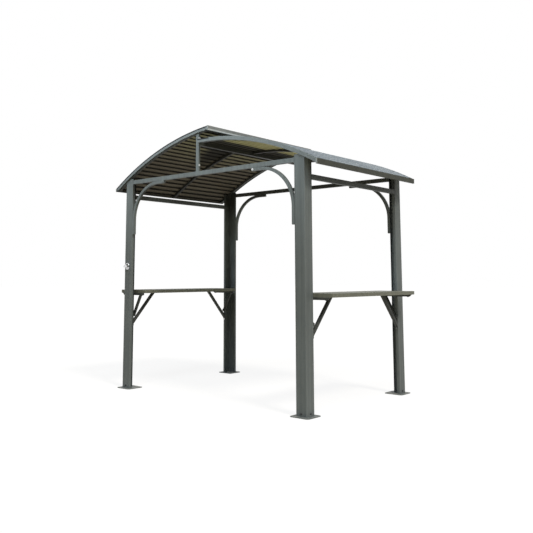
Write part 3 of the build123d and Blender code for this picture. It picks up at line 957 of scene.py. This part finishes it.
class GAZEBO_OT_fit_beam_bolts(bpy.types.Operator):
    """Bolt the tie beams and side beams through the lips of the posts"""

    bl_idname = "gazebo.fit_beam_bolts"
    bl_label = "Fit beam bolts"

    def execute(self, context):
        offset = hardware().beam_bolt_offset
        for corner, (side_x, side_y) in CORNERS.items():
            y_name, x_name = corner.split("_")
            post = corner + "_post"
            hollow = middle(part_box(post))
            tie = middle(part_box(y_name + "_tie_beam"))
            beam = middle(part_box(x_name + "_side_beam"))
            mesh = bmesh.new()
            for shift in (-offset, offset):
                inside = Vector((hollow.x, tie.y, tie.z + shift))
                add_frame_bolt(mesh, seat(*strike(post, inside, (-side_x, 0, 0))))
                inside = Vector((beam.x, hollow.y, beam.z + shift))
                add_frame_bolt(mesh, seat(*strike(post, inside, (0, -side_y, 0))))
            fit_piece(corner + "_beam_bolts", mesh, black())
        return {"FINISHED"}


class GAZEBO_OT_fit_king_bolts(bpy.types.Operator):
    """Bolt the king posts through their right faces, above the tie beam and above the low tier"""

    bl_idname = "gazebo.fit_king_bolts"
    bl_label = "Fit king post bolts"

    def execute(self, context):
        sizes = hardware()
        for y_name in SIDES_Y:
            king = y_name + "_king_post"
            centre = middle(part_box(king))
            low_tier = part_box("lower_" + y_name + "_roof_sheet")
            heights = (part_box(king)[0].z + sizes.king_bolt_rise, low_tier[1].z + sizes.king_bolt_clear)
            mesh = bmesh.new()
            for height in heights:
                start = Vector((low_tier[1].x, centre.y, height))
                add_frame_bolt(mesh, seat(*strike(king, start, (-1, 0, 0))))
            fit_piece(y_name + "_king_bolts", mesh, zinc())
        return {"FINISHED"}


class GAZEBO_OT_fit_brace_ends(bpy.types.Operator):
    """Plug the ends of the curved braces and bolt them to tie beam and post"""

    bl_idname = "gazebo.fit_brace_ends"
    bl_label = "Fit brace ends"

    def execute(self, context):
        inset = hardware().brace_bolt_inset
        for corner, (side_x, side_y) in CORNERS.items():
            brace = corner + "_brace"
            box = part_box(brace)
            centre = middle(box)
            half = (box[1].y - box[0].y) / 2
            end_x = outer(box, 0, -side_x)
            post_x = outer(box, 0, side_x) - side_x * half
            run_z = box[1].z - half
            plugs = bmesh.new()
            add_plug(plugs, seat((end_x, centre.y, run_z), (-side_x, 0, 0)), half)
            add_plug(plugs, seat((post_x, centre.y, box[0].z), DOWN), half)
            aside = Vector((0, centre.y, box[0].z + 2 * inset))
            add_button(plugs, seat(*strike(brace, aside, (side_x, 0, 0))))
            fit_piece(corner + "_brace_plugs", plugs, charcoal())
            bolts = bmesh.new()
            ahead = Vector((end_x + side_x * inset, beyond(box, 1, side_y), run_z))
            add_frame_bolt(bolts, seat(*strike(brace, ahead, (0, -side_y, 0))))
            if side_x < 0:
                fit_piece(corner + "_brace_bolts", bolts, charcoal())
            else:
                fit_piece(corner + "_brace_bolts", bolts, zinc())
        return {"FINISHED"}


def valleys(sheet, y):
    """Middles of a ribbed sheet's valleys along one line across its ribs, with the way that they face."""
    low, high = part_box(sheet)
    tree = surface(sheet)
    samples = []
    for index in range(1, int((high.x - low.x) / SCAN_STEP)):
        start = Vector((low.x + index * SCAN_STEP, y, high.z + AWAY))
        spot, normal, _, _ = tree.ray_cast(start, DOWN)
        if spot is not None:
            samples.append((spot, normal))
    found = []
    run = []
    for index, sample in enumerate(samples):
        near = samples[max(0, index - SCAN_REACH):index + SCAN_REACH + 1]
        mean = sum(other[0].z for other in near) / len(near)
        if sample[0].z < mean:
            run.append(sample)
        elif run:
            found.append(run[len(run) // 2])
            run = []
    return found


class GAZEBO_OT_fit_roof_screws(bpy.types.Operator):
    """Screw the ribbed sheets to their rafters, in the valleys between the ribs"""

    bl_idname = "gazebo.fit_roof_screws"
    bl_label = "Fit roof screws"

    def execute(self, context):
        step = hardware().roof_step
        for tier in TIERS:
            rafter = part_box(tier + "_middle_rafter")
            quarter = (rafter[1].y - rafter[0].y) / 4
            for y_name, side_y in SIDES_Y.items():
                sheet = f"{tier}_{y_name}_roof_sheet"
                rows = (middle(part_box(f"{tier}_{y_name}_rafter")).y, side_y * quarter)
                mesh = bmesh.new()
                for row in rows:
                    for spot, normal in valleys(sheet, row)[1::step]:
                        add_roof_screw(mesh, seat(spot, normal))
                fit_piece(f"{tier}_{y_name}_roof_screws", mesh, zinc())
        return {"FINISHED"}


def rafter_edges(rafter, first_x, last_x):
    """Stations along a rafter from one place to another: X and the heights of its underside and top."""
    low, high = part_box(rafter)
    tree = surface(rafter)
    y = (low.y + high.y) / 2
    stations = []
    for step in range(STRIP_STATIONS + 1):
        x = first_x + (last_x - first_x) * step / STRIP_STATIONS
        under = tree.ray_cast(Vector((x, y, low.z - AWAY)), UP)[0]
        over = tree.ray_cast(Vector((x, y, high.z + AWAY)), DOWN)[0]
        stations.append((x, under.z, over.z))
    return stations


class GAZEBO_OT_fit_verge_strips(bpy.types.Operator):
    """Close the roof's front and back overhang with folded strips that follow the end rafters"""

    bl_idname = "gazebo.fit_verge_strips"
    bl_label = "Fit verge strips"

    def execute(self, context):
        clear = hardware().strip_clear
        colour = finishes().strip_colour
        coat = powder_coat("strip_coat", colour, shade(colour, share=0.84), rough=0.40)
        for tier, (first, last) in STRIP_ENDS.items():
            first_x = outer(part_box(first), 0, 1) + clear
            last_x = outer(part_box(last), 0, -1) - clear
            for y_name, side_y in SIDES_Y.items():
                rafter = f"{tier}_{y_name}_rafter"
                face_y = outer(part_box(f"{tier}_{y_name}_roof_sheet"), 1, side_y) - side_y * clear
                depth = abs(face_y - outer(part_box(rafter), 1, side_y)) - clear
                mesh = bmesh.new()
                loops = []
                for x, under, over in rafter_edges(rafter, first_x, last_x):
                    section = self.section(depth, under, over - clear)
                    loops.append([mesh.verts.new((x, face_y - side_y * inward, z)) for inward, z in section])
                join_loops(mesh, loops)
                fit_piece(f"{tier}_{y_name}_verge_strip", mesh, coat)
        return {"FINISHED"}

    def section(self, depth, foot, top):
        """Folded section, inward and up: a flange under the sheet, the face and a return along its foot."""
        thick = hardware().strip_thick
        back = hardware().strip_return
        return [
            (0, top), (depth, top), (depth, top - thick), (thick, top - thick),
            (thick, foot + thick), (back, foot + thick), (back, foot), (0, foot),
        ]


class GAZEBO_OT_fit_trim_caps(bpy.types.Operator):
    """Close the open ends of the eave strips and of the high tier's edge strip"""

    bl_idname = "gazebo.fit_trim_caps"
    bl_label = "Fit trim caps"

    def execute(self, context):
        thick = hardware().cap_thick
        colour = finishes().edge_colour
        coat = powder_coat("cap_coat", colour, shade(colour, share=0.80), rough=0.36)
        for trim in TRIMS:
            box = low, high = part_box(trim)
            mesh = bmesh.new()
            for side_y in SIDES_Y.values():
                loops = []
                for rise, inset in ((0, 0), (thick / 2, 0), (thick, thick / 2)):
                    y = outer(box, 1, side_y) + side_y * rise
                    left, right = low.x + inset, high.x - inset
                    foot, top = low.z + inset, high.z - inset
                    corners = ((left, foot), (right, foot), (right, top), (left, top))
                    loops.append([mesh.verts.new((x, y, z)) for x, z in corners])
                join_loops(mesh, loops)
            fit_piece(trim + "_caps", mesh, coat)
        return {"FINISHED"}


class GAZEBO_OT_fit_shelf_bolts(bpy.types.Operator):
    """Plug the shelf arms, bolt them to the shelves and bolt their struts to the posts"""

    bl_idname = "gazebo.fit_shelf_bolts"
    bl_label = "Fit shelf bolts"

    def execute(self, context):
        sizes = hardware()
        for corner, (side_x, side_y) in CORNERS.items():
            bracket = corner + "_shelf_bracket"
            strut = corner + "_shelf_strut"
            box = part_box(bracket)
            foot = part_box(strut)
            centre = middle(box)
            half = (box[1].y - box[0].y) / 2
            inner_x = outer(box, 0, -side_x)
            outer_x = outer(box, 0, side_x)
            lip_x = middle(foot).x
            dark = bmesh.new()
            add_plug(dark, seat((inner_x, centre.y, box[1].z - half), (-side_x, 0, 0)), half)
            inset = side_x * sizes.arm_bolt_inset
            for x in (inner_x + inset / 2, outer_x - inset):
                add_button(dark, seat(*strike(bracket, (x, centre.y, 0), UP)))
            tip = Vector((lip_x, 0, box[0].z + sizes.strut_bolt_rise))
            add_button(dark, seat(*strike(bracket, tip, (0, side_y, 0))))
            fit_piece(corner + "_arm_fittings", dark, black())
            bolts = bmesh.new()
            ear_y = outer(foot, 1, side_y) - side_y * sizes.ear_thick
            ear = Vector((lip_x, ear_y, ear_low(strut) + sizes.strut_bolt_rise))
            add_frame_bolt(bolts, seat(ear, (0, -side_y, 0)))
            if side_x < 0:
                fit_piece(corner + "_strut_bolts", bolts, zinc())
            else:
                fit_piece(corner + "_strut_bolts", bolts, charcoal())
        return {"FINISHED"}


def seen_by_camera(tree):
    """1 for the rays that show a surface to the camera, straight, in gloss or through glass."""
    path = tree.nodes.new("ShaderNodeLightPath")
    tones = [Tone(tree, path.outputs[kind]) for kind in SEEN_RAYS]
    found = tones[0]
    for tone in tones[1:]:
        found = larger(found, tone)
    return found


def light_world(stage):
    """White background over a dim, slightly cool sky."""
    world = bpy.data.worlds.new("studio_sky")
    world.use_nodes = True
    tree = world.node_tree
    tree.nodes.clear()
    seen = seen_by_camera(tree)
    dim = {"Color": opaque(stage.sky_colour), "Strength": stage.sky_strength}
    sky = seen.node("ShaderNodeBackground", None, dim)
    white = seen.node("ShaderNodeBackground", None, {"Color": opaque(WHITE), "Strength": 1.0})
    both = seen.node("ShaderNodeMixShader", None, {"Fac": seen, "Shader": sky, "Shader_001": white})
    seen.node("ShaderNodeOutputWorld", None, {"Surface": both})
    bpy.context.scene.world = world


def lay_floor(stage):
    """Pale floor that fades into the white background and keeps a soft shadow."""
    half = stage.floor_half
    data = bpy.data.meshes.new("studio_floor")
    spots = [(-half, -half, 0), (half, -half, 0), (half, half, 0), (-half, half, 0)]
    data.from_pydata(spots, [], [(0, 1, 2, 3)])
    material = bpy.data.materials.new("studio_floor")
    material.use_nodes = True
    tree = material.node_tree
    tree.nodes.clear()
    seen = seen_by_camera(tree)
    glow = seen.node("ShaderNodeEmission", None, {"Color": opaque(WHITE), "Strength": stage.floor_glow})
    sheen = seen.node("ShaderNodeBsdfDiffuse", None, {"Color": opaque(stage.floor_sheen)})
    pale = seen.node("ShaderNodeAddShader", None, {"Shader": glow, "Shader_001": sheen})
    plain = seen.node("ShaderNodeBsdfDiffuse", None, {"Color": opaque(stage.floor_bounce)})
    both = seen.node("ShaderNodeMixShader", None, {"Fac": seen, "Shader": plain, "Shader_001": pale})
    seen.node("ShaderNodeOutputMaterial", None, {"Surface": both})
    data.materials.append(material)
    floor = bpy.data.objects.new("studio_floor", data)
    floor.location.z = cad_low.z - stage.floor_drop
    bpy.context.scene.collection.objects.link(floor)


def hang_sun(name, turn, rise, strength, soft, colour):
    """Soft distant light from a side and a height."""
    data = bpy.data.lights.new(name, "SUN")
    data.energy = strength
    data.angle = soft
    data.color = colour
    sun = bpy.data.objects.new(name, data)
    sun.rotation_euler = (math.pi / 2 - rise, 0, turn)
    bpy.context.scene.collection.objects.link(sun)


def hang_panel(stage):
    """Soft rectangular light that looks at the front of the roof."""
    data = bpy.data.lights.new("panel_light", "AREA")
    data.shape = "RECTANGLE"
    data.size = stage.panel_width
    data.size_y = stage.panel_height
    data.spread = stage.panel_spread
    data.energy = stage.panel_power
    data.color = stage.panel_colour
    panel = bpy.data.objects.new("panel_light", data)
    panel.location = stage.panel_place
    heading = Vector(stage.panel_aim) - Vector(stage.panel_place)
    panel.rotation_euler = heading.to_track_quat("-Z", "Y").to_euler()
    bpy.context.scene.collection.objects.link(panel)


def stand_camera(stage):
    """Camera at the photograph's viewing angle."""
    data = bpy.data.cameras.new("camera")
    data.lens = stage.lens
    data.shift_x = stage.shift_x
    data.shift_y = stage.shift_y
    camera = bpy.data.objects.new("camera", data)
    camera.location = stage.camera_place
    camera.rotation_euler = (math.pi / 2 + stage.camera_rise, 0, stage.camera_turn)
    bpy.context.scene.collection.objects.link(camera)
    bpy.context.scene.camera = camera


class GAZEBO_OT_set_stage(bpy.types.Operator):
    """Set the pale floor, the white background, the soft lights and the camera"""

    bl_idname = "gazebo.set_stage"
    bl_label = "Set stage"

    def execute(self, context):
        stage = context.scene.gazebo_stage
        context.scene.view_settings.view_transform = "Standard"
        light_world(stage)
        lay_floor(stage)
        hang_sun(
            "key_light", stage.key_turn, stage.key_rise,
            stage.key_strength, stage.key_soft, stage.key_colour
        )
        hang_sun(
            "front_light", stage.front_turn, stage.front_rise,
            stage.front_strength, stage.front_soft, stage.front_colour
        )
        hang_panel(stage)
        stand_camera(stage)
        return {"FINISHED"}


OPERATORS = (
    GAZEBO_OT_paint_frame,
    GAZEBO_OT_fit_brackets,
    GAZEBO_OT_coat_roof,
    GAZEBO_OT_coat_trims,
    GAZEBO_OT_coat_shelves,
    GAZEBO_OT_polish_opener,
    GAZEBO_OT_fit_foot_screws,
    GAZEBO_OT_fit_beam_bolts,
    GAZEBO_OT_fit_king_bolts,
    GAZEBO_OT_fit_brace_ends,
    GAZEBO_OT_fit_roof_screws,
    GAZEBO_OT_fit_verge_strips,
    GAZEBO_OT_fit_trim_caps,
    GAZEBO_OT_fit_shelf_bolts,
    GAZEBO_OT_set_stage,
)
GROUPS = {
    "gazebo_finishes": GazeboFinishes,
    "gazebo_hardware": GazeboHardware,
    "gazebo_stage": GazeboStage,
}


class GAZEBO_PT_panel(bpy.types.Panel):
    """Finishes, fasteners and stage of the gazebo"""

    bl_idname = "GAZEBO_PT_panel"
    bl_label = "Grill gazebo"
    bl_space_type = "VIEW_3D"
    bl_region_type = "UI"
    bl_category = "Gazebo"

    def draw(self, context):
        for operator in OPERATORS:
            self.layout.operator(operator.bl_idname)
        for name, group in GROUPS.items():
            box = self.layout.box()
            for field in group.__annotations__:
                box.prop(getattr(context.scene, name), field)


CLASSES = (*GROUPS.values(), *OPERATORS, GAZEBO_PT_panel)


def register():
    """Add the classes and the scene's settings."""
    for each in CLASSES:
        bpy.utils.register_class(each)
    for name, group in GROUPS.items():
        setattr(bpy.types.Scene, name, PointerProperty(type=group))


def unregister():
    """Remove the settings and the classes."""
    for name in GROUPS:
        delattr(bpy.types.Scene, name)
    for each in reversed(CLASSES):
        bpy.utils.unregister_class(each)


def main():
    """Register the classes and dress the gazebo."""
    register()
    bpy.ops.gazebo.paint_frame()
    bpy.ops.gazebo.fit_brackets()
    bpy.ops.gazebo.coat_roof()
    bpy.ops.gazebo.coat_trims()
    bpy.ops.gazebo.coat_shelves()
    bpy.ops.gazebo.polish_opener()
    bpy.ops.gazebo.fit_foot_screws()
    bpy.ops.gazebo.fit_beam_bolts()
    bpy.ops.gazebo.fit_king_bolts()
    bpy.ops.gazebo.fit_brace_ends()
    bpy.ops.gazebo.fit_roof_screws()
    bpy.ops.gazebo.fit_verge_strips()
    bpy.ops.gazebo.fit_trim_caps()
    bpy.ops.gazebo.fit_shelf_bolts()
    bpy.ops.gazebo.set_stage()


if __name__ == "__main__":
    main()
